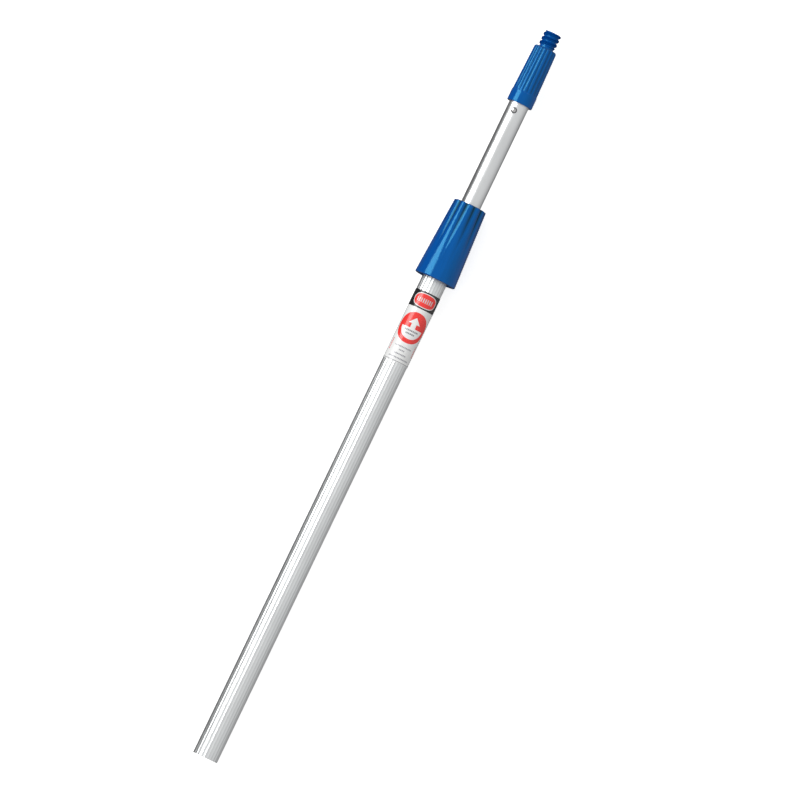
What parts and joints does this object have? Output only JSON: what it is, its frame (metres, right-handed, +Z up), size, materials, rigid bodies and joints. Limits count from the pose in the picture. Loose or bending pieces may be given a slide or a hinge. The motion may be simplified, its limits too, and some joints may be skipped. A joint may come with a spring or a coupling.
{
  "type": "window cleaning extension pole",
  "caption": "Telescopic window cleaning pole with a fluted outer tube, a sliding inner tube, a conical twist-lock collar, a snap button and a threaded tip.",
  "frame": {"origin": "at the bottom centre of the pole's box, with the pole level and half extended; the pole's axis is 23.2 mm above it", "axes": "+X along the pole from the plain butt end to the threaded tip, +Z up, with the label facing up"},
  "size_m": [0.853, 0.0464, 0.0464],
  "materials": {
    "fluted_aluminium": "satin clear anodised, drawn flutes",
    "smooth_aluminium": "bright drawn, smooth",
    "blue_plastic": "glossy moulded nylon",
    "black_plastic": "moulded, lightly textured",
    "natural_plastic": "unfilled acetal, satin",
    "steel": "bright plated",
    "label_film": "printed vinyl film"
  },
  "bodies": {
    "outer": {"outer_tube": "fluted_aluminium", "butt_plug": "black_plastic", "label": "label_film", "thread_sleeve": "natural_plastic", "guide_sleeve": "natural_plastic", "sleeve_rivet_left": "steel", "sleeve_rivet_right": "steel", "collet": "natural_plastic"},
    "clamp_ring": {"wedge_ring": "natural_plastic"},
    "collar": {"lock_collar": "blue_plastic"},
    "glide": {"glide_ring": "natural_plastic"},
    "inner": {"inner_tube": "smooth_aluminium", "pole_tip": "blue_plastic", "button_spring": "steel", "end_plug": "black_plastic", "plug_pin": "steel"},
    "button": {"snap_button": "steel"}
  },
  "joints": [
    {"name": "extension", "type": "slide", "parent": "outer", "child": "glide", "axis": [1, 0, 0], "range_m": [-0.104, 0.366]},
    {"name": "inner_swivel", "type": "hinge", "parent": "glide", "child": "inner", "pos_m": [-0.2595, 0, 0.0232], "axis": [1, 0, 0], "continuous": true},
    {"name": "collar_twist", "type": "hinge", "parent": "clamp_ring", "child": "collar", "pos_m": [0.1786, 0, 0.0232], "axis": [1, 0, 0], "range_deg": [0, 180]},
    {"name": "wedge_slide", "type": "slide", "parent": "outer", "child": "clamp_ring", "axis": [1, 0, 0], "range_m": [0, 0.003]},
    {"name": "button_press", "type": "slide", "parent": "inner", "child": "button", "axis": [0, -0.2385, -0.9711], "range_m": [0, 0.003], "stiffness_N_per_m": 400, "springref_m": -0.002, "deforming": ["button_spring"]}
  ],
  "couplings": [
    {"joint": "wedge_slide", "follows": "collar_twist", "m_per_rad": 0.00095492}
  ]
}
